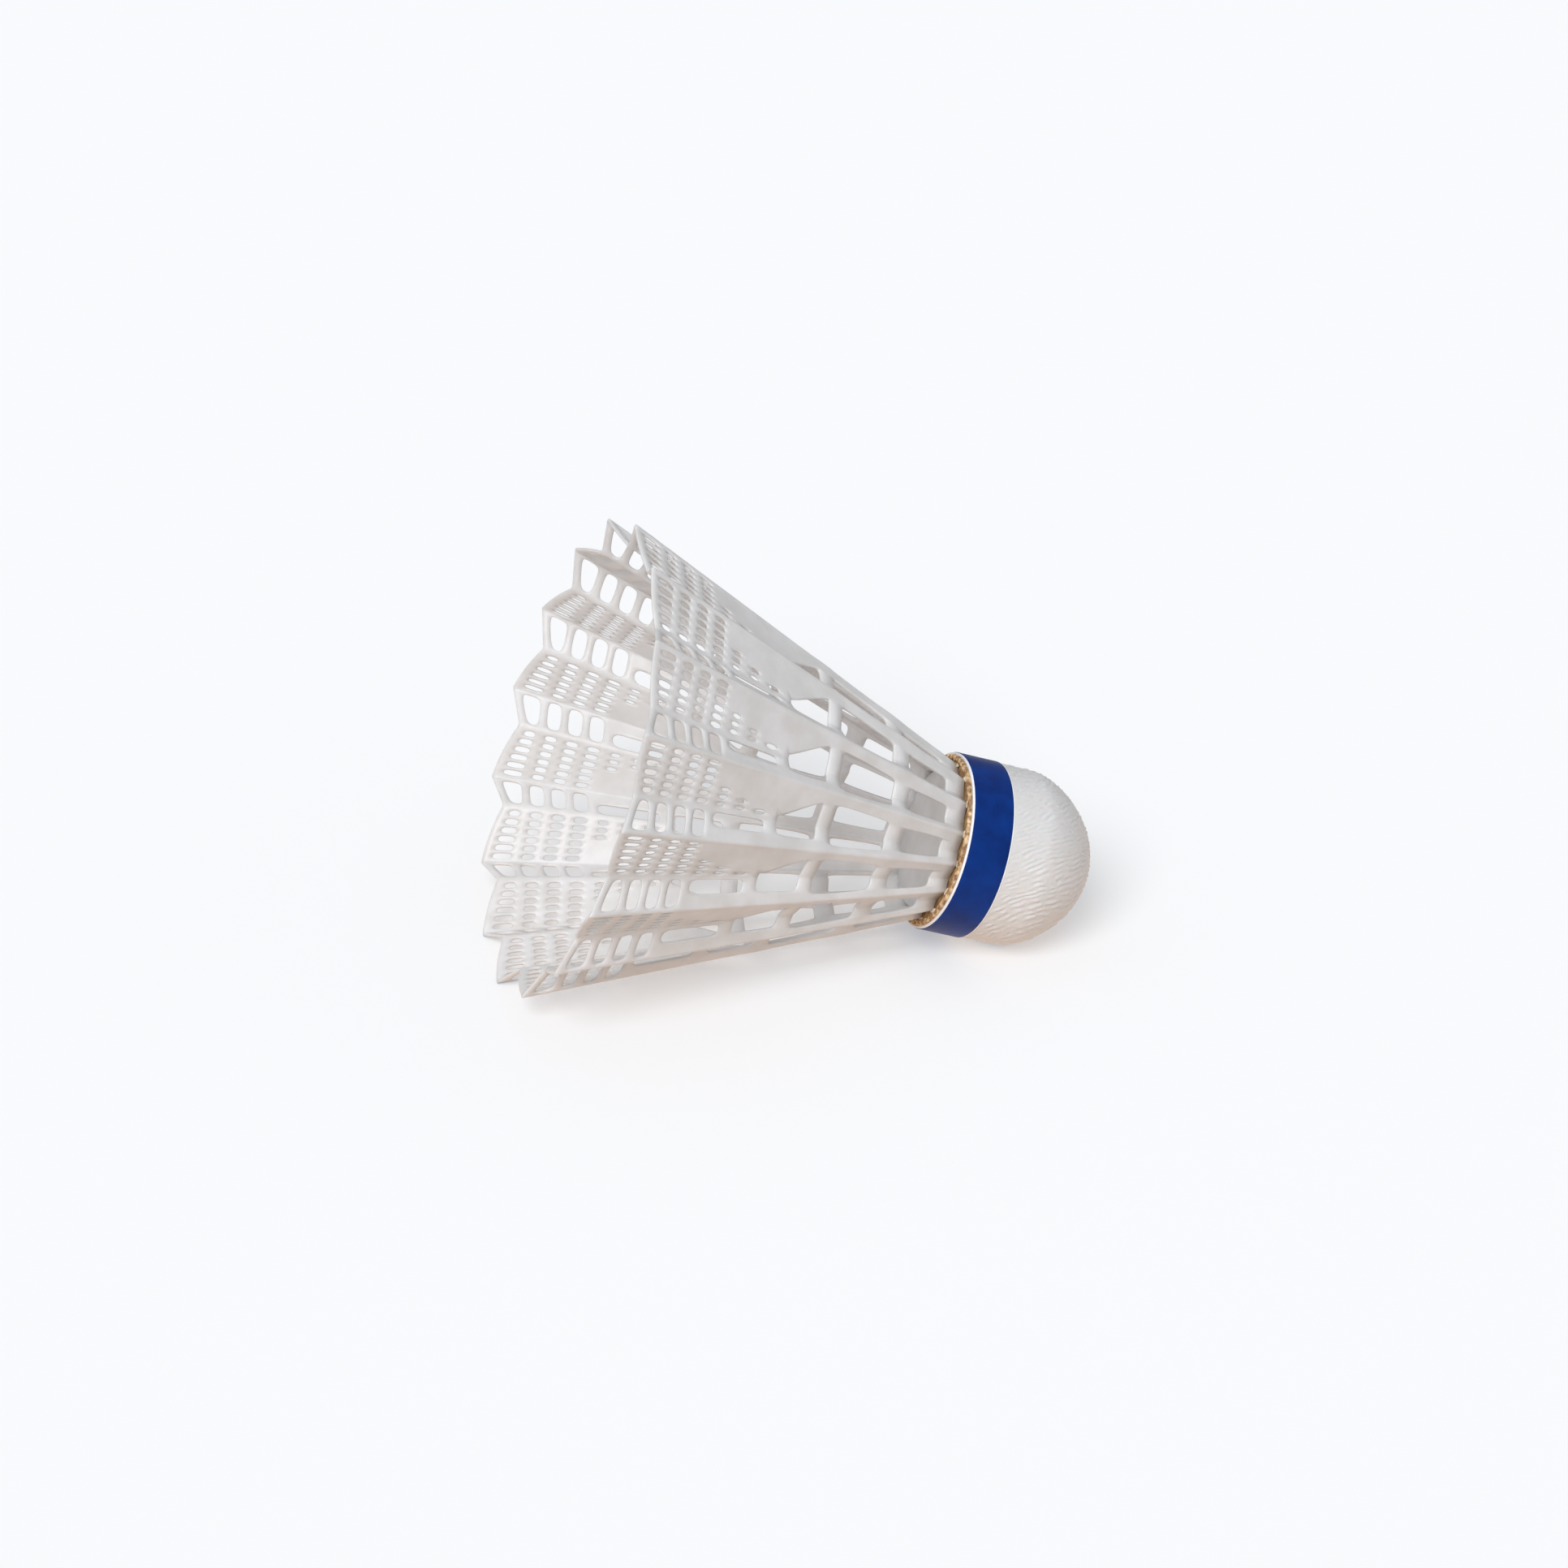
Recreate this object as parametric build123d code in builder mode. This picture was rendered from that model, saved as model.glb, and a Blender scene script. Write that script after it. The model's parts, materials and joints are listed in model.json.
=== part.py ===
from build123d import *
from math import cos, pi, radians, sin
import os

# A synthetic shuttlecock. The moulded nylon skirt is a folded cone of sixteen teeth, its plug is
# glued into the bore of a cork base, and the base wears a thin white cover, a white binding tape
# and a coloured ribbon. The shuttlecock lies on its side, on two neighbouring teeth and its base.
#
# Everything is drawn about the shuttlecock's own axis: z = 0 is the face of the cork, the mouth of
# the skirt is at +z and the rounded nose at -z. The LYING plane below then lays the whole thing down.

# ---- overall sizes, mm ---------------------------------------------------------------------------
TEETH = 16              # teeth round the mouth
MOUTH_R = 33.84         # radius of the circle through the tips of the teeth
MOUTH_Z = 55.15         # height of those tips above the cork face
TOOTH_DEPTH = 3.64      # how far the notches between the teeth lie inside that circle
TOOTH_DROP = 1.32       # how far the notches lie below the tips
CROWN_R = 11.30         # radius over the folds where the skirt meets the cork face
NARROW_DEG = 8.08       # turn from a tip to the next notch; the rest of the pitch is the wide side
BASE_R = 12.70          # radius over the ribbon
STRAIGHT_Z = -12.2      # where the straight side of the base ends and the nose begins
NOSE_Z = -23.2          # the very front of the nose

# ---- skirt ---------------------------------------------------------------------------------------
WALL_SHIFT = 1.6        # the inner surface is the outer one moved this far towards the mouth
BEAD_R = 0.50           # rounded bead along every outer fold
BEAD_PROUD = 0.15       # how far that bead stands proud of the fold
RIM_W = 1.15            # width of the strip round the mouth
RIM_BOW = 0.30          # how far the wide side's rim bulges towards the mouth
WINDOW_1 = (3.05, 9.9)  # lowest windows, across each inner fold; the skirt is closed below
WINDOW_2 = (12.65, 22.0)
WINDOW_3 = (24.25, 30.7)
# the slot and the rows keep their distance from the mouth: heights counted down from the notches
WINDOW_4 = (21.23, 12.83)   # long slot in each narrow side
PART_ROWS = ((21.03, 19.03, 1), (17.73, 15.83, 2), (14.53, 12.73, 3))  # short rows: foot, head, cells
FULL_ROWS = ((11.53, 9.63), (8.53, 6.63), (5.53, 3.73))                # full rows: foot, head
LAST_ROW = 2.63         # the last row starts here and ends at the rim strip
ROW_CELLS = 6           # cells in a full row of a wide side
FIRST_CELL = 0.11       # middle of the first cell, as a share of the side's width from the notch
CELL_PITCH = 0.152      # share of the width from cell to cell
CELL_W = 0.105          # share of the width that a cell opens

# ---- joint of skirt and base ---------------------------------------------------------------------
RECESS = 0.40           # depth of the round seat in the cork face
SEAT_SPARE = 0.30       # room round the skirt's foot in that seat
FOOT_GLUE = 0.12        # glue film under the skirt's foot
DISC_T = 1.2            # nylon floor that closes the skirt
DISC_IN = 1.30          # how far the floor's edge lies inside the crown's folds
PLUG_R = 8.2
PLUG_WALL = 1.1
PLUG_DEEP = 8.0
GLUE_GAP = 0.15         # glue film round the plug
BORE_SPARE = 0.6        # how much deeper the bore is than the plug is long

# ---- base ----------------------------------------------------------------------------------------
COVER_T = 0.25
BINDING_T = 0.07
RIBBON_T = 0.09
BINDING = (-0.42, -6.82)    # the white tape, from the cork face down
RIBBON = (-0.70, -6.59)     # the coloured ribbon, a little narrower
COVER_TOP = -0.40           # the cover stops short of the cork face and leaves its edge bare
CORK_EDGE = 0.22            # the bare edge is rubbed down this much
NOSE_POWER = 1.56           # 2 would be an ellipse; less is more pointed

# ---- what follows from those sizes ---------------------------------------------------------------
PITCH_DEG = 360 / TEETH
TIP_TURN = PITCH_DEG / 2                # the two lowest teeth stand this far either side of straight down
FOLD_R = MOUTH_R - BEAD_PROUD           # the outer fold itself, under its bead
FOLD_SLOPE = (FOLD_R - CROWN_R) / MOUTH_Z
APEX_Z = -CROWN_R / FOLD_SLOPE          # the point where all folds of the skirt would meet
VALLEY_R = MOUTH_R - TOOTH_DEPTH
VALLEY_Z = MOUTH_Z - TOOTH_DROP
NOTCH_SLOPE = VALLEY_R / (VALLEY_Z - APEX_Z)
FOOT_Z = -RECESS + FOOT_GLUE
RECESS_R = CROWN_R + SEAT_SPARE
DISC_R = CROWN_R - DISC_IN
COVER_R = BASE_R - RIBBON_T - BINDING_T
CORK_R = COVER_R - COVER_T
BORE_R = PLUG_R + GLUE_GAP
BORE_END = -PLUG_DEEP - BORE_SPARE


def nose(radius, tip_z, share):
    """A point (r, z) on a rounded nose, from its shoulder (share 0) to its tip (share 1)."""
    return (radius * max(0.0, 1 - share**NOSE_POWER) ** 0.5, STRAIGHT_Z + (tip_z - STRAIGHT_Z) * share)


def reach(turn, side):
    """How far the base reaches in a direction that leans by turn from straight out towards the nose."""
    spots = [nose(COVER_R, NOSE_Z, (k / 400) ** 2) for k in range(401)]
    return max(side * r * cos(turn) - z * sin(turn) for r, z in spots)


def lying_tilt():
    """The lean of the axis when two teeth and the base touch the same floor, by halving."""
    low, high = radians(2), radians(40)
    for _ in range(60):
        lean = (low + high) / 2
        teeth = MOUTH_R * cos(radians(TIP_TURN)) * cos(lean) - MOUTH_Z * sin(lean)
        if teeth > reach(lean, 1):
            low = lean
        else:
            high = lean
    return lean


LEAN = lying_tilt()
LOW_TIP = MOUTH_R * cos(radians(TIP_TURN))
SEAT_UP = LOW_TIP * cos(LEAN) - MOUTH_Z * sin(LEAN)
MOUTH_REACH = MOUTH_Z * cos(LEAN) + LOW_TIP * sin(LEAN)
NOSE_REACH = reach(pi / 2 - LEAN, 1)
SEAT_X = (MOUTH_REACH - NOSE_REACH) / 2
LYING = Plane(
    origin=(SEAT_X, 0, SEAT_UP),
    x_dir=(-sin(LEAN), 0, -cos(LEAN)),
    z_dir=(-cos(LEAN), 0, sin(LEAN)),
)
LENGTHWISE = Plane(origin=LYING.origin, x_dir=LYING.x_dir, z_dir=-LYING.y_dir)  # a cut through the axis
SPIN = Axis(LYING.origin, LYING.z_dir)


# ---- one tooth of the skirt ----------------------------------------------------------------------
# The tooth's fold lies at angle 0. Its narrow side runs to the notch at +NARROW_DEG and its wide
# side to the notch at NARROW_DEG - PITCH_DEG.
NARROW_NOTCH = NARROW_DEG
WIDE_NOTCH = NARROW_DEG - PITCH_DEG


def fold_at(z):
    return Vector(FOLD_SLOPE * (z - APEX_Z), 0, z)


def notch_at(z, turn):
    r = NOTCH_SLOPE * (z - APEX_Z)
    return Vector(r * cos(radians(turn)), r * sin(radians(turn)), z)


def side_plane(turn):
    """The plane of one side of the tooth, its normal pointing out of the skirt."""
    along = fold_at(APEX_Z + 1) - Vector(0, 0, APEX_Z)
    notch = notch_at(APEX_Z + 1, turn) - Vector(0, 0, APEX_Z)
    normal = along.cross(notch)
    if normal.X < 0:
        normal = normal * -1
    return Plane(origin=(0, 0, APEX_Z), x_dir=along, z_dir=normal)


def on_side(turn, share, z):
    """The spot on a side's plane at height z, share 0 at the notch and 1 at the fold."""
    spot = fold_at(z) * share + notch_at(z, turn) * (1 - share)
    flat = side_plane(turn).to_local_coords(spot)
    return (flat.X, flat.Y)


def outline(turn, corners):
    """The corners (share, z) of an opening, laid out on its side's plane."""
    return [on_side(turn, share, z) for share, z in corners]


def sector(z):
    """The tooth's slice of the skirt at height z, from the axis out."""
    return [
        (0, 0),
        (notch_at(z, WIDE_NOTCH).X, notch_at(z, WIDE_NOTCH).Y),
        (fold_at(z).X, 0),
        (notch_at(z, NARROW_NOTCH).X, notch_at(z, NARROW_NOTCH).Y),
    ]


def rim_z(share, bow):
    return VALLEY_Z + (MOUTH_Z - VALLEY_Z) * share + 4 * bow * share * (1 - share)


PAST = -0.22            # openings that cross a notch run this far past it, as a share of the width


def window(heights, foot, shoulder, rise, head):
    """A window across a notch: its foot, the shoulder it widens to a little higher, and its head."""
    low, high = heights
    return [(PAST, low), (foot, low), (shoulder, low + rise), (head, high), (PAST, high)]


wide_openings = [
    window(WINDOW_1, 0.22, 0.53, 2.2, 0.53),
    window(WINDOW_2, 0.30, 0.66, 2.6, 0.72),
    [(PAST, WINDOW_3[0]), (0.72, WINDOW_3[0]), (0.06, WINDOW_3[1]), (PAST, WINDOW_3[1])],
]
narrow_openings = [
    window(WINDOW_1, 0.30, 0.62, 2.2, 0.62),
    window(WINDOW_2, 0.40, 0.70, 2.6, 0.73),
    [(PAST, WINDOW_3[0]), (0.53, WINDOW_3[0]), (0.53, WINDOW_3[1]), (PAST, WINDOW_3[1])],
]


def block(left, right, down_low, down_high):
    """A four-cornered opening between two shares, its heights counted down from the notches."""
    low, high = VALLEY_Z - down_low, VALLEY_Z - down_high
    return [(left, low), (right, low), (right, high), (left, high)]


def rim_block(left, right, bow):
    """An opening of the last row, which ends at the rim strip."""
    low = VALLEY_Z - LAST_ROW
    return [(left, low), (right, low), (right, rim_z(right, bow) - RIM_W), (left, rim_z(left, bow) - RIM_W)]


narrow_openings.append(block(0.06, 0.52, *WINDOW_4))
for row in FULL_ROWS:
    narrow_openings.append(block(0.07, 0.93, *row))
narrow_openings.append(rim_block(0.07, 0.93, 0))
cells = [FIRST_CELL + CELL_PITCH * k - CELL_W / 2 for k in range(ROW_CELLS)]   # left edges
for low, high, count in PART_ROWS + tuple((low, high, ROW_CELLS) for low, high in FULL_ROWS):
    for left in cells[:count]:
        wide_openings.append(block(left, left + CELL_W, low, high))
for left in cells:
    wide_openings.append(rim_block(left, left + CELL_W, RIM_BOW))

with BuildPart() as tooth:
    # the folded sheet: one slice of a sixteen-pointed cone, less the same slice moved up
    for z in (FOOT_Z, MOUTH_Z + 1):
        with BuildSketch(Plane.XY.offset(z)):
            with BuildLine():
                Polyline(*sector(z), close=True)
            make_face()
    loft(ruled=True)
    for z in (FOOT_Z - 1, MOUTH_Z + 2):
        with BuildSketch(Plane.XY.offset(z)):
            with BuildLine():
                Polyline(*sector(z - WALL_SHIFT), close=True)
            make_face()
    loft(ruled=True, mode=Mode.SUBTRACT)

    # the bead along the fold
    fold_run = fold_at(MOUTH_Z + 1) - fold_at(FOOT_Z)
    bead_in = Vector(fold_run.Z, 0, -fold_run.X).normalized() * (BEAD_PROUD - BEAD_R)
    with BuildSketch(Plane(origin=fold_at(FOOT_Z + 0.4) + bead_in, z_dir=fold_run)):
        Circle(BEAD_R)
    extrude(amount=fold_run.length)

    # the openings of both sides, and the trimmed rim
    for turn, openings, bow in ((WIDE_NOTCH, wide_openings, RIM_BOW), (NARROW_NOTCH, narrow_openings, 0)):
        with BuildSketch(side_plane(turn)):
            for corners in openings:
                with BuildLine():
                    Polyline(*outline(turn, corners), close=True)
                make_face()
        extrude(amount=0.95, both=True, mode=Mode.SUBTRACT)
        rim = [(share, rim_z(share, bow)) for share in (0, 0.25, 0.5, 0.75, 1)]
        above = [(1.2, MOUTH_Z + 0.2), (1.2, MOUTH_Z + 6), (-0.2, MOUTH_Z + 6), (-0.2, VALLEY_Z - 0.2)]
        with BuildSketch(side_plane(turn)):
            with BuildLine():
                Polyline(*outline(turn, rim + above), close=True)
            make_face()
        extrude(amount=3, both=True, mode=Mode.SUBTRACT)

# ---- the skirt: sixteen teeth on one closed crown ------------------------------------------------
with BuildPart(LYING) as nylon_skirt:
    with PolarLocations(0, TEETH, start_angle=TIP_TURN):
        add(tooth.part)
    # the floor that closes it, and the hollow plug below
    with Locations((0, 0, FOOT_Z)):
        Cylinder(DISC_R, DISC_T, align=(Align.CENTER, Align.CENTER, Align.MIN))
    with Locations((0, 0, -PLUG_DEEP)):
        Cylinder(PLUG_R, PLUG_DEEP, align=(Align.CENTER, Align.CENTER, Align.MIN))
        Cylinder(
            PLUG_R - PLUG_WALL,
            PLUG_DEEP - RECESS,
            align=(Align.CENTER, Align.CENTER, Align.MIN),
            mode=Mode.SUBTRACT,
        )

# ---- the cork: a plain nose, with the seat and the bore for the plug -----------------------------
NOSE_STEPS = [0.06, 0.2, 0.4, 0.6, 0.78, 0.9, 0.97, 0.994]


def nose_profile(radius, tip_z):
    """The half section of a nose, as a smooth line from its shoulder to its tip."""
    spots = [nose(radius, tip_z, share) for share in [0] + NOSE_STEPS + [1]]
    return Spline(*spots, tangents=((0, -1), (-1, 0)))


with BuildPart() as cork_core:
    with BuildSketch(LENGTHWISE):
        with BuildLine():
            edge = nose_profile(CORK_R, NOSE_Z + COVER_T)
            Polyline(
                edge @ 0,
                (CORK_R, -CORK_EDGE),
                (CORK_R - CORK_EDGE, 0),
                (RECESS_R, 0),
                (RECESS_R, -RECESS),
                (BORE_R, -RECESS),
                (BORE_R, BORE_END),
                (0, BORE_END),
                edge @ 1,
            )
        make_face()
    revolve(axis=SPIN)

# ---- the cover, the binding tape and the ribbon --------------------------------------------------
with BuildPart() as base_cover:
    with BuildSketch(LENGTHWISE):
        with BuildLine():
            outer = nose_profile(COVER_R, NOSE_Z)
            inner = nose_profile(CORK_R, NOSE_Z + COVER_T)
            Polyline(outer @ 0, (COVER_R, COVER_TOP), (CORK_R, COVER_TOP), inner @ 0)
            Line(outer @ 1, inner @ 1)
        make_face()
    revolve(axis=SPIN)


def hoop(inside, thickness, span):
    """A flat tape wrapped round the base."""
    with BuildPart(LYING) as wrapped:
        with Locations((0, 0, span[1])):
            Cylinder(inside + thickness, span[0] - span[1], align=(Align.CENTER, Align.CENTER, Align.MIN))
            Cylinder(
                inside,
                span[0] - span[1],
                align=(Align.CENTER, Align.CENTER, Align.MIN),
                mode=Mode.SUBTRACT,
            )
    return wrapped


edge_binding = hoop(COVER_R, BINDING_T, BINDING)
speed_band = hoop(COVER_R + BINDING_T, RIBBON_T, RIBBON)

# ---- the glue: a sleeve round the plug, and a film under the skirt's foot -------------------------
plug_adhesive = hoop(PLUG_R, GLUE_GAP, (-RECESS, -PLUG_DEEP))

with BuildPart(LYING) as neck_glue:
    with Locations((0, 0, -RECESS)):
        Cylinder(RECESS_R, FOOT_GLUE, align=(Align.CENTER, Align.CENTER, Align.MIN))
        Cylinder(PLUG_R, FOOT_GLUE, align=(Align.CENTER, Align.CENTER, Align.MIN), mode=Mode.SUBTRACT)

# ---- one STEP file for each piece ----------------------------------------------------------------
os.makedirs("parts", exist_ok=True)
pieces = {
    "nylon_skirt": nylon_skirt,
    "cork_core": cork_core,
    "base_cover": base_cover,
    "edge_binding": edge_binding,
    "speed_band": speed_band,
    "plug_adhesive": plug_adhesive,
    "neck_glue": neck_glue,
}
for name, piece in pieces.items():
    piece.part.label = name
    export_step(piece.part, f"parts/{name}.step")
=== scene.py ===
# %% [markdown]
# # A synthetic shuttlecock, lying on its side
#
# The real thing is three jobs of work. A skirt is injection moulded in nylon, folded into sixteen
# teeth and pierced all over so that air slows it down. A cork base is turned, bored and covered
# with a thin white skin. The skirt's plug is glued into the cork and a coloured ribbon hides the
# edge of the skin. The mechanical frame already holds all of that at its real size, so the cells
# below only have to find out where it lies, and then dress it.

import json
from math import cos, pi, radians, sin, sqrt

import bmesh
import bpy
import numpy as np
from mathutils import Matrix, Vector, noise


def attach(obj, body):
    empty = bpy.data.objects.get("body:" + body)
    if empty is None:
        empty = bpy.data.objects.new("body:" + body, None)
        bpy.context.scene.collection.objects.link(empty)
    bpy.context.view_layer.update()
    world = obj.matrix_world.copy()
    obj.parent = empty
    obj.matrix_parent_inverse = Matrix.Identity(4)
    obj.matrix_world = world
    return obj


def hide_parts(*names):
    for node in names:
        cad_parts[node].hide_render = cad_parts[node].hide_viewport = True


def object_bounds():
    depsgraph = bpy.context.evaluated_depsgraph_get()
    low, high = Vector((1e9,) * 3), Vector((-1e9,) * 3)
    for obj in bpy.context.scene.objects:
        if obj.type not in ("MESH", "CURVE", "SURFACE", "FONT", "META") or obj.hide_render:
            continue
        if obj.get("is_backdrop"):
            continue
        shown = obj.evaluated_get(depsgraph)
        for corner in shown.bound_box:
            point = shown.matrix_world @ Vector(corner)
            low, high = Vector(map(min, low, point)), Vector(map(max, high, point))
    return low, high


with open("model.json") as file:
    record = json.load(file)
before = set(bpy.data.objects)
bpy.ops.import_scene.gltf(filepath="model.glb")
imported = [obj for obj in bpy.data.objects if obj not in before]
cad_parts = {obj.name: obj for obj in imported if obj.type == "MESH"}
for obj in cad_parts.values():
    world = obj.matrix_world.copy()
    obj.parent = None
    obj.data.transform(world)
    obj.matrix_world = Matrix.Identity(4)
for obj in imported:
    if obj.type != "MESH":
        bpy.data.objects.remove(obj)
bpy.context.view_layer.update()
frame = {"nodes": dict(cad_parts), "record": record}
MM = 0.001

# %% [markdown]
# ## The shuttlecock's own axis
#
# Every piece is round about one axis, and that axis leans: the shuttlecock rests on two teeth and
# its nose. It is far easier to draw each piece upright about Z, in millimetres, and lay it down at
# the end. The record states where the base is gripped, which is a point on the axis and its
# direction, so the lean is read from there and never typed in.

# %% Read the axis from the record
grip = next(m for m in frame["record"]["mounts"] if m["name"] == "base_grip")
GRIP_Z = -3.645                      # height of the grip's middle on the axis, under the cork face
to_mouth = -Vector(grip["axis"]).normalized()
seat = Vector(grip["pos_m"]) - to_mouth * GRIP_Z * MM
to_floor = Vector((-to_mouth.z, 0, to_mouth.x))
LAY_DOWN = Matrix.Translation(seat) @ Matrix(
    [[to_floor[k], to_mouth.cross(to_floor)[k], to_mouth[k]] for k in range(3)]
).to_4x4() @ Matrix.Scale(MM, 4)
print("the axis leans", round(90 - to_mouth.angle(Vector((0, 0, 1))) * 180 / pi, 2), "degrees")

# %% [markdown]
# ## Small helpers
#
# A finished piece has its place in its mesh and its object at the origin. `finished` does that for
# every piece in the same way: it lays the mesh down, smooths it, gives it its material and ties it
# to the one body of this object, because nothing on a shuttlecock moves by itself.


# %% Helpers: make, lay down, ride
def mesh_of(name, points, faces):
    made = bpy.data.meshes.new(name)
    made.from_pydata([tuple(p) for p in points], [], faces)
    made.validate()
    return made


def shown(name, made):
    piece = bpy.data.objects.new(name, made)
    bpy.context.scene.collection.objects.link(piece)
    return piece


def plain_mesh(piece):
    """What the modifiers make of a piece, as its own mesh, with the modifiers gone."""
    bpy.context.view_layer.update()
    made = bpy.data.meshes.new_from_object(piece.evaluated_get(bpy.context.evaluated_depsgraph_get()))
    piece.modifiers.clear()
    piece.data = made
    return piece


def finished(piece, material, slot, *stands_for):
    piece.data.transform(LAY_DOWN)
    for face in piece.data.polygons:
        face.use_smooth = True
    piece.data.materials.clear()
    piece.data.materials.append(material)
    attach(piece, "root")
    if stands_for:
        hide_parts(*stands_for)
    piece.data.calc_loop_triangles()
    print(piece.name, len(piece.data.loop_triangles), "triangles")
    return piece


# %% [markdown]
# ## Materials are little graphs
#
# Each finish below is a Principled shader with a few nodes in front of it. `finish` lays out the
# parts that all of them share: a colour that wanders between two tones, a roughness that wanders
# too, and a fine bump. What is the same all over is typed on the shader's own sockets.


# %% Helper: a finish with wandering colour, roughness and bump
CLOUD_DETAIL, GRAIN_DETAIL = 4, 3        # octaves of the two noises
FIRST_TONE_AT, LAST_TONE_AT = 0.35, 0.65  # where the noise starts and ends its walk between the tones


def noise_in_mm(nodes, links, in_mm, scale, detail):
    made = nodes.new("ShaderNodeTexNoise")
    made.inputs["Scale"].default_value = scale
    made.inputs["Detail"].default_value = detail
    links.new(in_mm.outputs["Vector"], made.inputs["Vector"])
    return made


def finish(name, tones, scale, rough, bump=0.0, bump_scale=4.0, **constant):
    """tones: two colours; rough: low and high; scale and bump_scale: how many waves in a millimetre."""
    made = bpy.data.materials.new(name)
    made.use_nodes = True
    nodes, links = made.node_tree.nodes, made.node_tree.links
    shader = nodes["Principled BSDF"]
    place = nodes.new("ShaderNodeTexCoord")
    in_mm = nodes.new("ShaderNodeMapping")
    in_mm.inputs["Scale"].default_value = (1 / MM, 1 / MM, 1 / MM)
    links.new(place.outputs["Object"], in_mm.inputs["Vector"])
    cloud = noise_in_mm(nodes, links, in_mm, scale, CLOUD_DETAIL)
    ramp = nodes.new("ShaderNodeValToRGB")
    ramp.color_ramp.elements[0].position = FIRST_TONE_AT
    ramp.color_ramp.elements[1].position = LAST_TONE_AT
    for stop, tone in zip(ramp.color_ramp.elements, tones):
        stop.color = (*tone, 1)
    links.new(cloud.outputs["Fac"], ramp.inputs["Fac"])
    links.new(ramp.outputs["Color"], shader.inputs["Base Color"])
    gloss = nodes.new("ShaderNodeMapRange")
    gloss.inputs["To Min"].default_value, gloss.inputs["To Max"].default_value = rough
    links.new(cloud.outputs["Fac"], gloss.inputs["Value"])
    links.new(gloss.outputs["Result"], shader.inputs["Roughness"])
    if bump:
        grain = noise_in_mm(nodes, links, in_mm, bump_scale, GRAIN_DETAIL)
        raise_it = nodes.new("ShaderNodeBump")
        raise_it.inputs["Strength"].default_value = 1.0
        raise_it.inputs["Distance"].default_value = bump * MM
        links.new(grain.outputs["Fac"], raise_it.inputs["Height"])
        links.new(raise_it.outputs["Normal"], shader.inputs["Normal"])
    for socket, value in constant.items():
        shader.inputs[socket.replace("_", " ")].default_value = value
    return made, shader, ramp


# %% [markdown]
# ## The skirt, part one: the folds
#
# All folds of the skirt are straight lines that would meet at one point far below the mouth. A
# tooth is two flat sides that share an outer fold: a wide side with a fine lattice and a narrow
# one with big windows. So a spot on the skirt needs only two numbers: its height and its share of
# the way across the side, from the notch (0) to the fold (1).

# %% Where the folds and notches run, in millimetres
TEETH = 16
MOUTH_R, MOUTH_Z = 33.84, 55.15          # tips of the teeth
NOTCH_R, NOTCH_Z = 30.20, 53.83          # notches between them
APEX_Z = -27.84                          # where all folds would meet
PITCH = 2 * pi / TEETH
NARROW_TURN = radians(8.08)              # from the fold round to the notch beyond the narrow side
WIDE_TURN = NARROW_TURN - PITCH          # and the other way, to the notch beyond the wide side
RIB_RISE = 0.16                          # the rib on the fold stands this proud
FOLD_SLOPE = (MOUTH_R - RIB_RISE) / (MOUTH_Z - APEX_Z)
NOTCH_SLOPE = NOTCH_R / (NOTCH_Z - APEX_Z)


def fold_at(z):
    return np.array([FOLD_SLOPE * (z - APEX_Z), 0.0, z])


def notch_at(z, turn):
    r = NOTCH_SLOPE * (z - APEX_Z)
    return np.array([r * cos(turn), r * sin(turn), z])


def spot(turn, share, z):
    return fold_at(z) * share + notch_at(z, turn) * (1 - share)


def side_width(turn, z):
    return float(np.linalg.norm(fold_at(z) - notch_at(z, turn)))


for label, turn in (("wide", WIDE_TURN), ("narrow", NARROW_TURN)):
    print("the", label, "side is", round(side_width(turn, MOUTH_Z), 2), "mm across at the mouth")


# %% [markdown]
# Walls get their thickness along the sides' normals. On a fold or in a notch two sides meet, so
# the normal there is the average of both, made longer so that the wall stays equally thick.


# %% Normals of the two sides, the fold and the notches
def turned(v, angle):
    c, s = cos(angle), sin(angle)
    return np.array([c * v[0] - s * v[1], s * v[0] + c * v[1], v[2]])


def side_normal(turn):
    n = np.cross(fold_at(1.0) - fold_at(0.0), notch_at(1.0, turn) - notch_at(0.0, turn))
    n = n / np.linalg.norm(n)
    return n if n[0] > 0 else -n


def between(a, b):
    middle = (a + b) / np.linalg.norm(a + b)
    return middle / float(middle @ a)


WIDE_N, NARROW_N = side_normal(WIDE_TURN), side_normal(NARROW_TURN)
FOLD_N = between(WIDE_N, NARROW_N)
WIDE_NOTCH_N = between(WIDE_N, turned(NARROW_N, -PITCH))
NARROW_NOTCH_N = turned(WIDE_NOTCH_N, PITCH)

# %% [markdown]
# ## The skirt, part two: one tooth as a sheet of squares
#
# The lattice could be cut with a boolean for each of its six hundred windows. That leaves slivers
# and razor edges, and a moulding has neither. Instead the tooth is laid out as a grid whose lines
# run along the edges of the windows. Squares inside a window are left out, the rest get an outer
# and an inner skin and walls between them, and one level of subdivision rounds every bar and
# corner as the steel mould does.

# %% The heights of the grid's lines
BIG_WINDOWS = ((3.05, 9.9), (12.65, 22.0), (24.25, 30.7))
NARROW_WINDOW = (32.7, 41.1)
SHORT_ROWS = ((32.7, 34.8, 1), (36.1, 38.0, 2), (39.3, 41.1, 3))   # each with its number of cells
CELL_ROWS = [(42.3, 44.25), (45.3, 47.2), (48.25, 50.1)]           # rows with all their cells
LAST_ROW = 51.2                          # the row under the rim starts here
RIM_W = 1.15
END = 0.5                                # a cell's ends are rounded over this height
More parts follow.
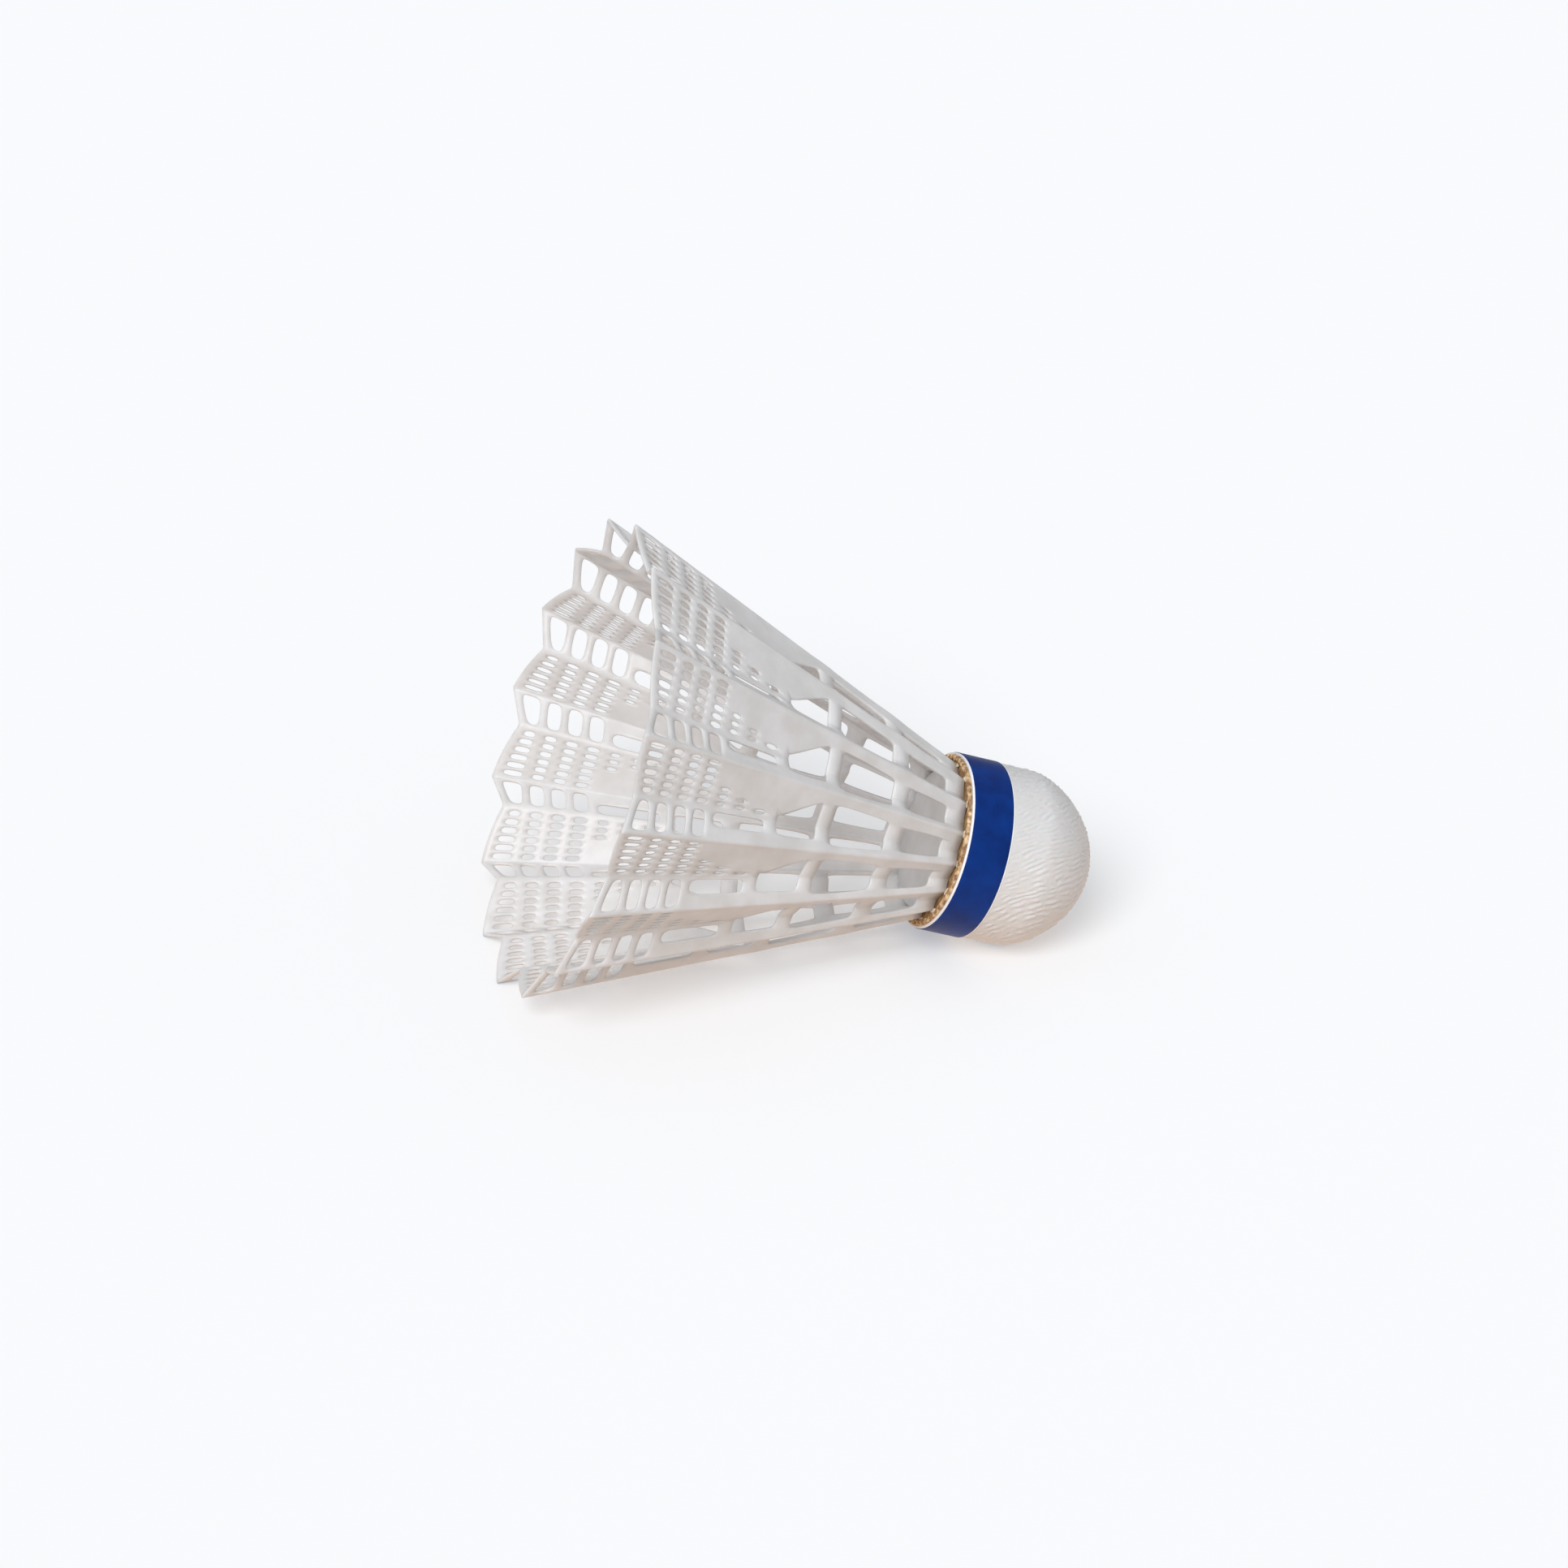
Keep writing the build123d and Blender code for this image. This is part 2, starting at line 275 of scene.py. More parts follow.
# each line: (height, wide window's edge or None, narrow window's edge or None)
LINES = [
    (-0.28, 0.50, 0.58), (3.05, 0.50, 0.58),
    (4.0, 0.53, 0.62), (9.2, 0.53, 0.62), (9.9, 0.55, 0.64),
    (12.65, 0.60, 0.64), (13.5, 0.63, 0.66), (21.3, 0.72, 0.73), (22.0, 0.72, 0.73),
    (24.25, 0.70, 0.56), (24.9, 0.66, 0.55), (30.1, 0.12, 0.53), (30.7, 0.11, 0.53),
    (32.7, None, 0.52), (33.3, None, 0.52), (34.2, None, 0.52), (34.8, None, 0.52),
    (36.1, None, 0.52), (37.05, None, 0.52), (38.0, None, 0.52),
    (39.3, None, 0.52), (40.2, None, 0.52), (41.1, None, 0.52),
]
for low, high in CELL_ROWS:
    LINES += [(low, None, None), (low + END, None, None), (high - END, None, None), (high, None, None)]
LINES += [(LAST_ROW, None, None), (LAST_ROW + END, None, None)]
HEIGHTS = [line[0] for line in LINES]
print(len(LINES), "lines below the rim")

# %% [markdown]
# Across the wide side the lines follow the edges of six cells. Below the lattice the same lines
# gather at the edge of the big windows. The last line before the fold keeps a fixed distance from
# it, because the rib on the fold is as wide at the neck as it is at the mouth.

# %% The lines across both sides
CELLS = 6
CELL_AT, CELL_STEP, CELL_OPEN = 0.113, 0.151, 0.104
CELL_EDGES = [CELL_AT + CELL_STEP * k + side * CELL_OPEN / 2 for k in range(CELLS) for side in (-1, 1)]
RIB_HALF = 0.52
EDGE_LINE = 8                            # on the wide side this line is the edge of the big windows
FIXED_LINE = 6                           # the lines beyond this one make room for the rib
ROOM_AT_RIB = 0.012                      # between the last cell and the rib, as a share of the side
USUAL_EDGE = 0.52                        # of the narrow windows
INNER_LINE, NOTCH_LINE = 0.3, 0.075      # the last two lines of the narrow side before the notch


def wide_shares(z, edge):
    """Shares from the notch to the rib's foot and the fold, 15 of them."""
    rib = 1 - RIB_HALF / side_width(WIDE_TURN, z)
    nominal = [0.0] + CELL_EDGES
    if edge is not None:
        low = [s * edge / nominal[EDGE_LINE] for s in nominal[: EDGE_LINE + 1]]
        rest = len(nominal) - EDGE_LINE
        return low + [edge + (rib - edge) * k / rest for k in range(1, rest)] + [rib, 1.0]
    fixed = nominal[FIXED_LINE]
    room = min(1.0, (rib - ROOM_AT_RIB - fixed) / (nominal[-1] - fixed))
    return nominal[:FIXED_LINE] + [fixed + (s - fixed) * room for s in nominal[FIXED_LINE:]] + [rib, 1.0]


def narrow_shares(z, edge):
    """Shares from the rib's foot back down to the notch, 6 of them."""
    rib = 1 - RIB_HALF / side_width(NARROW_TURN, z)
    edge = USUAL_EDGE if edge is None else edge
    return [rib, (rib + edge) / 2, edge, INNER_LINE * edge / USUAL_EDGE, NOTCH_LINE, 0.0]


WIDE_LINES = len(wide_shares(MOUTH_Z, None))
ALL_LINES = WIDE_LINES + len(narrow_shares(MOUTH_Z, None))
FOLD_LINE = WIDE_LINES - 1
NARROW_EDGE = FOLD_LINE + 3              # on the narrow side this line is the edge of the windows
print(WIDE_LINES, "lines on the wide side and", ALL_LINES, "in all")


# %% [markdown]
# The rim isn't level: it climbs from each notch to the tip, and bulges a little on the wide side.
# So the last three lines of the grid follow the rim instead of a height.


# %% The rim, and the whole grid of (turn, share, height)
RIM_BOW = 0.30


def rim_at(turn, share):
    bow = RIM_BOW if turn == WIDE_TURN else 0.0
    return NOTCH_Z + (MOUTH_Z - NOTCH_Z) * share + 4 * bow * share * (1 - share)


def grid_row(z, wide_edge, narrow_edge, under_rim=None):
    row = [(WIDE_TURN, s, z) for s in wide_shares(z, wide_edge)]
    row += [(NARROW_TURN, s, z) for s in narrow_shares(z, narrow_edge)]
    if under_rim is not None:
        row = [(turn, s, rim_at(turn, s) - under_rim) for turn, s, _ in row]
    return row


grid = [grid_row(*line) for line in LINES]
grid += [grid_row(NOTCH_Z, None, None, under_rim=d) for d in (RIM_W + END, RIM_W, 0.0)]
ROWS = len(grid)


# %% [markdown]
# Now the windows. A window is named by the heights it spans and the lines it lies between, and all
# its squares are marked open. The big windows run across the notch into the next tooth, so they
# are open up to the grid's side, and the next tooth is open there too.


# %% Which squares are open
open_squares = np.zeros((ROWS - 1, ALL_LINES - 1), bool)


def row_of(z):
    return min(range(len(HEIGHTS)), key=lambda k: abs(HEIGHTS[k] - z))


def cut(low_row, high_row, first, last):
    open_squares[low_row:high_row, first:last] = True


for low, high in BIG_WINDOWS:
    cut(row_of(low), row_of(high), 0, EDGE_LINE)
    cut(row_of(low), row_of(high), NARROW_EDGE, ALL_LINES - 1)
cut(*map(row_of, NARROW_WINDOW), NARROW_EDGE, ALL_LINES - 2)
cell_rows = [(row_of(low), row_of(high), CELLS) for low, high in CELL_ROWS]
cell_rows.append((row_of(LAST_ROW), ROWS - 2, CELLS))
short_rows = [(row_of(low), row_of(high), cells) for low, high, cells in SHORT_ROWS]
for low_row, high_row, cells in cell_rows + short_rows:
    for cell in range(cells):
        cut(low_row, high_row, 1 + 2 * cell, 2 + 2 * cell)
for low_row, high_row, _ in cell_rows:
    cut(low_row, high_row, FOLD_LINE + 1, ALL_LINES - 2)
print(int(open_squares.sum()), "of", open_squares.size, "squares are open")

# %% [markdown]
# A window's corner is drawn in towards the window, so that subdivision turns it into a round and
# not just a cut-off point. How far depends on how long the two edges at that corner are.

# %% Both skins of the tooth, with rounded window corners
ROUND, ROUND_SHARE = 0.30, 0.26          # the most in millimetres, and as a share of the edge
middle_skin = np.array([[spot(*g) for g in row] for row in grid])


def is_open(r, c):
    return 0 <= r < ROWS - 1 and 0 <= c < ALL_LINES - 1 and bool(open_squares[r, c])


moves = np.zeros_like(middle_skin)
for r in range(ROWS):
    for c in range(1, ALL_LINES - 1):
        around = [(dr, dc) for dr in (-1, 0) for dc in (-1, 0) if is_open(r + dr, c + dc)]
        if len(around) == 1:
            dr, dc = around[0]
            next_row, next_line = r + (1 if dr == 0 else -1), c + (1 if dc == 0 else -1)
            for far in (middle_skin[next_row, c], middle_skin[r, next_line]):
                edge = far - middle_skin[r, c]
                length = float(np.linalg.norm(edge))
                moves[r, c] += edge / length * min(ROUND_SHARE * length, ROUND)
middle_skin = middle_skin + moves

# %% [markdown]
# The wall is under half a millimetre at the mouth and thicker in the crown, where the plastic
# flows in. The outer skin rises a little on the rib and on the two hoops that hold the blades.


# %% Thickness, rib and hoops
CROWN_WALL, NECK_WALL, MOUTH_WALL = 0.80, 0.58, 0.38
CROWN_TOP, THIN_FROM = 3, 33             # between these heights the wall thins towards the mouth
HOOPS, HOOP_RISE = ((9.5, 13), (21.7, 24.6)), 0.14
ON_RIB = 0.5                             # the share of its rise that a hoop adds to the rib


def wall(z):
    thinned = min(1.0, (z - CROWN_TOP) / (THIN_FROM - CROWN_TOP))
    return CROWN_WALL if z < CROWN_TOP else NECK_WALL - (NECK_WALL - MOUTH_WALL) * thinned


def hoop_rise(z):
    return HOOP_RISE if any(low < z < high for low, high in HOOPS) else 0.0


outer, inner = np.zeros_like(middle_skin), np.zeros_like(middle_skin)
for r, row in enumerate(grid):
    for c, (turn, share, z) in enumerate(row):
        normal = WIDE_N if turn == WIDE_TURN else NARROW_N
        rise = hoop_rise(z)
        if c == FOLD_LINE:
            normal, rise = FOLD_N, RIB_RISE + rise * ON_RIB
        elif c == 0:
            normal = WIDE_NOTCH_N
        elif c == ALL_LINES - 1:
            normal = NARROW_NOTCH_N
        outer[r, c] = middle_skin[r, c] + normal * rise
        inner[r, c] = middle_skin[r, c] - normal * wall(z)

# %% Faces: two skins, and walls round every window
points = np.concatenate([outer.reshape(-1, 3), inner.reshape(-1, 3)])
SKIN = ROWS * ALL_LINES


def at(r, c, skin=0):
    return skin * SKIN + r * ALL_LINES + c


def gap(r, c):
    """Is there nothing on this side of an edge? Past the notch the next tooth carries on."""
    return not 0 <= r < ROWS - 1 or is_open(r, c)


CREASE = 0.4                             # keeps the edges of the windows crisp when the mesh is rounded
faces, creased = [], set()
for r in range(ROWS - 1):
    for c in range(ALL_LINES - 1):
        if open_squares[r, c]:
            continue
        faces.append((at(r, c), at(r, c + 1), at(r + 1, c + 1), at(r + 1, c)))
        faces.append((at(r, c, 1), at(r + 1, c, 1), at(r + 1, c + 1, 1), at(r, c + 1, 1)))
        for there, a, b in (
            ((r - 1, c), (r, c), (r, c + 1)),
            ((r, c + 1), (r, c + 1), (r + 1, c + 1)),
            ((r + 1, c), (r + 1, c + 1), (r + 1, c)),
            ((r, c - 1), (r + 1, c), (r, c)),
        ):
            if 0 <= there[1] < ALL_LINES - 1 and gap(*there):
                faces.append((at(*b), at(*a), at(*a, 1), at(*b, 1)))
                creased |= {frozenset((at(*a), at(*b))), frozenset((at(*a, 1), at(*b, 1)))}
tooth_mesh = mesh_of("tooth", points, faces)
crease = tooth_mesh.attributes.new("crease_edge", "FLOAT", "EDGE")
for edge in tooth_mesh.edges:
    crease.data[edge.index].value = CREASE if frozenset(edge.vertices) in creased else 0.0
tooth = shown("tooth", tooth_mesh)
print("one tooth has", len(faces), "faces")

# %% [markdown]
# ## The skirt, part three: sixteen of them
#
# Teeth stand evenly round the axis, which is just the job for Geometry Nodes: a line of points
# that all sit on the axis, one tooth on each, every tooth turned one pitch further. Merging by
# distance then welds each tooth to its neighbour along the notch. What is copied, how often and
# from which turn on are inputs, so that the same tree can set the lumps of glue further down.


# %% Geometry Nodes: turn copies about the axis and weld them
def group_with(name, sockets):
    tree = bpy.data.node_groups.new(name, "GeometryNodeTree")
    for label, kind, way in sockets:
        tree.interface.new_socket(label, in_out=way, socket_type=kind)
    return tree, tree.nodes.new("NodeGroupInput"), tree.nodes.new("NodeGroupOutput")


def socket_id(tree, label):
    return next(s.identifier for s in tree.interface.items_tree if s.name == label and s.in_out == "INPUT")


teeth_tree, given, result = group_with(
    "Copies round the axis",
    [
        ("Copy", "NodeSocketObject", "INPUT"),
        ("Count", "NodeSocketInt", "INPUT"),
        ("First Turn", "NodeSocketFloat", "INPUT"),
        ("Weld", "NodeSocketFloat", "INPUT"),
        ("Finish", "NodeSocketMaterial", "INPUT"),
        ("Geometry", "NodeSocketGeometry", "OUTPUT"),
    ],
)


def node(tree, kind, **settings):
    made = tree.nodes.new(kind)
    for key, value in settings.items():
        setattr(made, key, value)
    return made


def wire(tree, *pairs):
    for a, b in pairs:
        tree.links.new(a, b)


line = node(teeth_tree, "GeometryNodeMeshLine", mode="OFFSET")
line.inputs["Offset"].default_value = (0, 0, 0)
copy = node(teeth_tree, "GeometryNodeObjectInfo")
index = node(teeth_tree, "GeometryNodeInputIndex")
share_of_turn = node(teeth_tree, "ShaderNodeMath", operation="DIVIDE")
angle = node(teeth_tree, "ShaderNodeMath", operation="MULTIPLY_ADD")
angle.inputs[1].default_value = 2 * pi
spin_to = node(teeth_tree, "ShaderNodeCombineXYZ")
stand = node(teeth_tree, "GeometryNodeInstanceOnPoints")
solid = node(teeth_tree, "GeometryNodeRealizeInstances")
weld = node(teeth_tree, "GeometryNodeMergeByDistance")
paint = node(teeth_tree, "GeometryNodeSetMaterial")
wire(
    teeth_tree,
    (given.outputs["Count"], line.inputs["Count"]),
    (given.outputs["Copy"], copy.inputs["Object"]),
    (index.outputs[0], share_of_turn.inputs[0]),
    (given.outputs["Count"], share_of_turn.inputs[1]),
    (share_of_turn.outputs[0], angle.inputs[0]),
    (given.outputs["First Turn"], angle.inputs[2]),
    (angle.outputs[0], spin_to.inputs["Z"]),
    (line.outputs["Mesh"], stand.inputs["Points"]),
    (copy.outputs["Geometry"], stand.inputs["Instance"]),
    (spin_to.outputs["Vector"], stand.inputs["Rotation"]),
    (stand.outputs["Instances"], solid.inputs["Geometry"]),
    (solid.outputs["Geometry"], weld.inputs["Geometry"]),
    (given.outputs["Weld"], weld.inputs["Distance"]),
    (weld.outputs["Geometry"], paint.inputs["Geometry"]),
    (given.outputs["Finish"], paint.inputs["Material"]),
    (paint.outputs["Geometry"], result.inputs["Geometry"]),
)


def round_the_axis(name, copy_of, count, first_turn, weld_distance, material):
    piece = shown(name, bpy.data.meshes.new(name))
    maker = piece.modifiers.new("Copies", "NODES")
    maker.node_group = teeth_tree
    for label, value in (
        ("Copy", copy_of),
        ("Count", count),
        ("First Turn", first_turn),
        ("Weld", weld_distance),
        ("Finish", material),
    ):
        maker[socket_id(teeth_tree, label)] = value
    return plain_mesh(piece)


# %% [markdown]
# ## Nylon
#
# The moulding is milky: light goes into it and a little comes out of the other side, so that a bar
# behind a blade shows as a faint shadow. Subsurface scattering gives the milk, and a little
# transparency the shadow of what lies behind. The surface is satin with faint flow marks.

# %% The nylon finish
nylon, nylon_shader, _ = finish(
    "milky nylon",
    ((0.69, 0.685, 0.68), (0.77, 0.77, 0.78)),
    0.25,
    (0.34, 0.46),
    bump=0.03,
    bump_scale=1.2,
    Subsurface_Weight=0.35,
    Subsurface_Scale=1.2 * MM,
    Specular_IOR_Level=0.5,
    Alpha=0.84,
)
nylon_shader.inputs["Subsurface Radius"].default_value = (1.0, 0.95, 0.9)

# %% Stand sixteen teeth round the axis and round their edges
TIP_TURN = PITCH / 2                     # no tooth points straight down: two share the floor
WELD = 0.02                              # neighbouring notches closer than this become one
skirt = round_the_axis("nylon_skirt_moulding", tooth, TEETH, TIP_TURN, WELD, nylon)
bpy.data.objects.remove(tooth)
rounding = skirt.modifiers.new("Rounded edges", "SUBSURF")
rounding.levels = rounding.render_levels = 1
plain_mesh(skirt)
print("skirt:", len(skirt.data.polygons), "faces after rounding")

# %% [markdown]
# ## Turned pieces
#
# The plug, the cork, its skin and the tapes are all turned shapes. One helper spins a closed
# outline of (radius, height) about the axis. A point on the axis becomes a single pole, and the
# outline runs so that faces look outwards.


# %% Helper: spin an outline about the axis
ON_AXIS = 1e-6


def spun(name, outline, steps):
    points, rings, faces = [], [], []
    for r, z in outline:
        if r < ON_AXIS:
            rings.append([len(points)] * steps)
            points.append((0, 0, z))
        else:
            rings.append(list(range(len(points), len(points) + steps)))
            points += [(r * cos(2 * pi * k / steps), r * sin(2 * pi * k / steps), z) for k in range(steps)]
    for a, b in zip(rings, rings[1:] + rings[:1]):
        for k in range(steps):
            corners = [a[k], a[(k + 1) % steps], b[(k + 1) % steps], b[k]]
            corners = [c for i, c in enumerate(corners) if c not in corners[:i]]
            if len(corners) > 2:
                faces.append(corners)
    made = mesh_of(name, points, faces)
    shape = bmesh.new()
    shape.from_mesh(made)
    bmesh.ops.recalc_face_normals(shape, faces=shape.faces)
    if shape.calc_volume(signed=True) < 0:
        bmesh.ops.reverse_faces(shape, faces=shape.faces)
    shape.to_mesh(made)
    shape.free()
    return shown(name, made)


def arc(r, z, radius, start, end, steps=4):
    """Points of a round, from angle start to end in degrees, about (r, z)."""
    turns = [radians(start + (end - start) * k / steps) for k in range(steps + 1)]
    return [(r + radius * cos(t), z + radius * sin(t)) for t in turns]


# %% [markdown]
# The skirt is closed at the neck by a slightly dished floor with a hollow plug below it. It is part
# of the same moulding, so its mesh joins the skirt's.

# %% The floor and the plug of the skirt
PLUG_R, PLUG_DEEP, PLUG_WALL, PLUG_ROUND = 8.2, 8.0, 1.1, 0.3
FLOOR_R, FLOOR_LOW, FLOOR_HIGH, FLOOR_ROUND = 10.0, -0.28, 0.92, 0.2
DISH_R, DISH_DEEP, DISH_STEPS = 7.5, 0.25, 5
CEILING = -0.4                           # of the hollow inside the plug
PLUG_STEPS = 96
dish = [DISH_R * k / DISH_STEPS for k in range(DISH_STEPS + 1)]
plug_line = [(r, FLOOR_HIGH - DISH_DEEP * (1 - (r / DISH_R) ** 2)) for r in dish]
plug_line += arc(FLOOR_R - FLOOR_ROUND, FLOOR_HIGH - FLOOR_ROUND, FLOOR_ROUND, 90, 0)
plug_line += [(FLOOR_R, FLOOR_LOW), (PLUG_R, FLOOR_LOW)]
plug_line += arc(PLUG_R - PLUG_ROUND, PLUG_ROUND - PLUG_DEEP, PLUG_ROUND, 0, -90)
plug_line += [(PLUG_R - PLUG_WALL, -PLUG_DEEP), (PLUG_R - PLUG_WALL, CEILING), (0, CEILING)]
plug = spun("plug", plug_line, PLUG_STEPS)
both = [skirt, plug]
with bpy.context.temp_override(
    active_object=skirt, object=skirt, selected_editable_objects=both, selected_objects=both
):
    bpy.ops.object.join()
finished(skirt, nylon, "nylon_skirt", "nylon_skirt")

# %% [markdown]
# ## The base: cork
#
# Cork is a block of cells pressed and turned on a lathe. On the cut face small grains stand up and
# others have torn out, and dark lines of bark cross it. Only a narrow ring shows, but it is lit
# from the side, so its grains are real geometry: each point of the ring is pushed by noise.

# %% The cork's outline
BASE_R = 12.70
RIBBON_T, TAPE_T, COVER_T = 0.09, 0.07, 0.25
COVER_R = BASE_R - RIBBON_T - TAPE_T
CORK_R = COVER_R - COVER_T
STRAIGHT_Z, NOSE_Z, NOSE_POWER = -12.2, -23.2, 1.56
RECESS, RECESS_R, CORK_EDGE = 0.40, 11.60, 0.22
BORE_R, BORE_END = 8.35, -8.6
SEAT_WALL = -0.2                         # halfway up the recess's wall
FINE_SIDE = (-0.32, -0.44)               # closer points where the side shows above the skin
SIDE_MIDDLE = -6
SEAT_STEPS, FACE_STEPS, EDGE_STEPS = 8, 9, 5
CORK_NOSE_STEPS, CORK_STEPS = 24, 640


def nose(radius, tip_z, share):
    return (radius * max(0.0, 1 - share**NOSE_POWER) ** 0.5, STRAIGHT_Z + (tip_z - STRAIGHT_Z) * share)


def nose_line(radius, tip_z, steps):
    """From the shoulder to the tip, with points closer together towards the tip."""
    return [nose(radius, tip_z, 1 - (1 - k / steps) ** 2) for k in range(steps)] + [(0, tip_z)]


cork_line = [(0, BORE_END), (BORE_R, BORE_END), (BORE_R, -RECESS)]
seat_points = range(1, SEAT_STEPS + 1)
cork_line += [(BORE_R + (RECESS_R - BORE_R) * k / SEAT_STEPS, -RECESS) for k in seat_points]
cork_line += [(RECESS_R, SEAT_WALL)]
face_end = CORK_R - CORK_EDGE
cork_line += [(RECESS_R + (face_end - RECESS_R) * k / FACE_STEPS, 0) for k in range(FACE_STEPS)]
cork_line += arc(face_end, -CORK_EDGE, CORK_EDGE, 90, 0, EDGE_STEPS)
cork_line += [(CORK_R, z) for z in (*FINE_SIDE, SIDE_MIDDLE, STRAIGHT_Z)]
cork_line += nose_line(CORK_R, NOSE_Z + COVER_T, CORK_NOSE_STEPS)[1:]
cork = spun("cork_base", cork_line, CORK_STEPS)
print("cork outline has", len(cork_line), "points")

# %% Raise the cork's grains
GRAINS = ((1.6, 0.5), (3.7, 0.35))       # waves in a millimetre, and their share of the height
CRACK_WAVES, TORN_WAVES = 2.3, 1.3       # in a millimetre too
GRAIN_HEIGHT, CRACK_DEPTH = 0.16, 0.35
FEWER_CRACKS = 0.25                      # the higher, the fewer there are
HIGHEST_GRAIN = 0.07
TORN_IN, TORN_OUT, FURTHEST_OUT = 0.20, 0.12, 0.02     # how far the ring's two edges wander
INNER_EDGE = 0.2                         # and how wide its inner edge is
PAST_BORE, NEAR = 0.1, 0.01


def grains(p):
    """How far the cut face stands up at p, in millimetres: grains, with pits between them."""
    stands = sum(noise.noise(p * waves) * share for waves, share in GRAINS)
    cracks = min(0.0, noise.noise(p * CRACK_WAVES + Vector((7, 1, 3))) + FEWER_CRACKS)
    return GRAIN_HEIGHT * stands + CRACK_DEPTH * cracks


def wander(r, torn):
    """How far a point at radius r moves outwards: only the two edges of the ring do."""
    if r < RECESS_R + INNER_EDGE:
        return TORN_IN * torn
    return min(FURTHEST_OUT, TORN_OUT * torn) if r > face_end else 0.0


for v in cork.data.vertices:
    r = sqrt(v.co.x**2 + v.co.y**2)
    if v.co.z > -RECESS - NEAR and r > BORE_R + PAST_BORE:
        height = grains(v.co.copy())
        if v.co.z > -CORK_EDGE - NEAR and r > RECESS_R - NEAR:
            v.co.z += min(HIGHEST_GRAIN, height)
            out = wander(r, noise.noise(Vector((v.co.x, v.co.y, 9)) * TORN_WAVES))
            v.co.x, v.co.y = v.co.x * (1 + out / r), v.co.y * (1 + out / r)
        elif r < RECESS_R:
            v.co.z += min(0.0, height)

# %% [markdown]
# Cork's colour has three parts: a warm tan, darker lenticels as specks, and pale cut cells. One
# noise chooses between them, and a finer one roughens the surface. The lenticels and the cut cells
# are two more stops on the colour ramp: a dark one just past the tan and a pale one at its end.

# %% The cork finish
cork_finish, _, cork_ramp = finish(
    "natural cork",
    ((0.56, 0.31, 0.125), (0.84, 0.61, 0.35)),
    1.1,
    (0.75, 0.92),
    bump=0.12,
    bump_scale=3.5,
)
for position, tone in ((0.40, (0.20, 0.085, 0.03)), (0.80, (0.88, 0.72, 0.50))):
    cork_ramp.color_ramp.elements.new(position).color = (*tone, 1)
finished(cork, cork_finish, "cork_core", "cork_core")

# %% [markdown]
# ## The white skin
#
# A disc of coated fabric is wetted with glue and drawn over the nose. It was flat, so it gathers
# into hundreds of tiny wrinkles that all lie along one direction of the cloth. A bump map would do
# from afar, but the outline of the nose shows them too, so they are displaced geometry: waves along
# one direction, bent and broken up by noise into little scales.

# %% The skin's outline
COVER_TOP, COVER_CUT = -0.40, 0.08       # its upper edge, and the edge's bevel
UNDER_RIBBON = (-3.0, -6.4)              # few points where the ribbon hides it
FINE_FROM, FINE_STEP, FINE_POINTS = -6.7, 0.25, 22
NOSE_STEPS, INSIDE_STEPS, COVER_STEPS = 88, 20, 640
skin_line = [(CORK_R, COVER_TOP), (COVER_R - COVER_CUT, COVER_TOP), (COVER_R, COVER_TOP - COVER_CUT)]
skin_line += [(COVER_R, z) for z in UNDER_RIBBON]
skin_line += [(COVER_R, FINE_FROM - FINE_STEP * k) for k in range(FINE_POINTS)]
skin_line += nose_line(COVER_R, NOSE_Z, NOSE_STEPS)
skin_line += reversed(nose_line(CORK_R, NOSE_Z + COVER_T, INSIDE_STEPS))
skin = spun("base_cover_skin", skin_line, COVER_STEPS)

# %% Wrinkle the skin
GRAIN = Vector((-0.681, -0.531, 0.504)).normalized()   # across the wrinkles, about the upright axis
WRINKLE = 0.66                           # from one wrinkle to the next
DEPTH = 0.11
LONG_BEND, SHORT_BEND = (0.14, 1.1), (0.6, 0.45)       # waves in a millimetre, wrinkles they shift by
SCALES, SCALE_MEAN, SCALE_SPREAD = 0.9, 0.45, 1.5      # noise that breaks the wrinkles into scales
FINE, FINE_SHARE = 2.6, 0.3
WRINKLED_FROM, FADE = -6.9, 1.0          # they start just below the tape and deepen over this height
TIPWARD = 1.1                            # turns a push a little more towards the tip
SIDE_SLACK, NOSE_SLACK, TIP_SLACK = 0.05, 0.12, 0.1    # less than the skin's own thickness


def wrinkles(p):
    """How far the skin stands out at p: bent waves, broken into scales, with a finer unevenness."""
    bend = LONG_BEND[1] * noise.noise(p * LONG_BEND[0])
    bend += SHORT_BEND[1] * noise.noise(p * SHORT_BEND[0] + Vector((3, 9, 1)))
    wave = sin(2 * pi * (p.dot(GRAIN) / WRINKLE + bend))
    broken = SCALE_MEAN + SCALE_SPREAD * noise.noise(p * SCALES + Vector((11, 2, 5)))
    return DEPTH * (wave * max(0.0, min(1.0, broken)) + FINE_SHARE * noise.noise(p * FINE))


def is_outside(r, z):
    """Is a point of the skin at radius r on its outside? The inside stays smooth on the cork."""
    if z > STRAIGHT_Z:
        return r > COVER_R - SIDE_SLACK
    share = min(1.0, (STRAIGHT_Z - z) / (STRAIGHT_Z - NOSE_Z))
    return r >= nose(COVER_R, NOSE_Z, share)[0] - NOSE_SLACK or z <= NOSE_Z + TIP_SLACK


for v in skin.data.vertices:
    r = sqrt(v.co.x**2 + v.co.y**2)
    if v.co.z < WRINKLED_FROM and is_outside(r, v.co.z):
        fade = min(1.0, (WRINKLED_FROM - v.co.z) / FADE)
        out = Vector((v.co.x, v.co.y, min(0.0, v.co.z - STRAIGHT_Z) * TIPWARD)).normalized()
        v.co += out * wrinkles(v.co.copy()) * fade

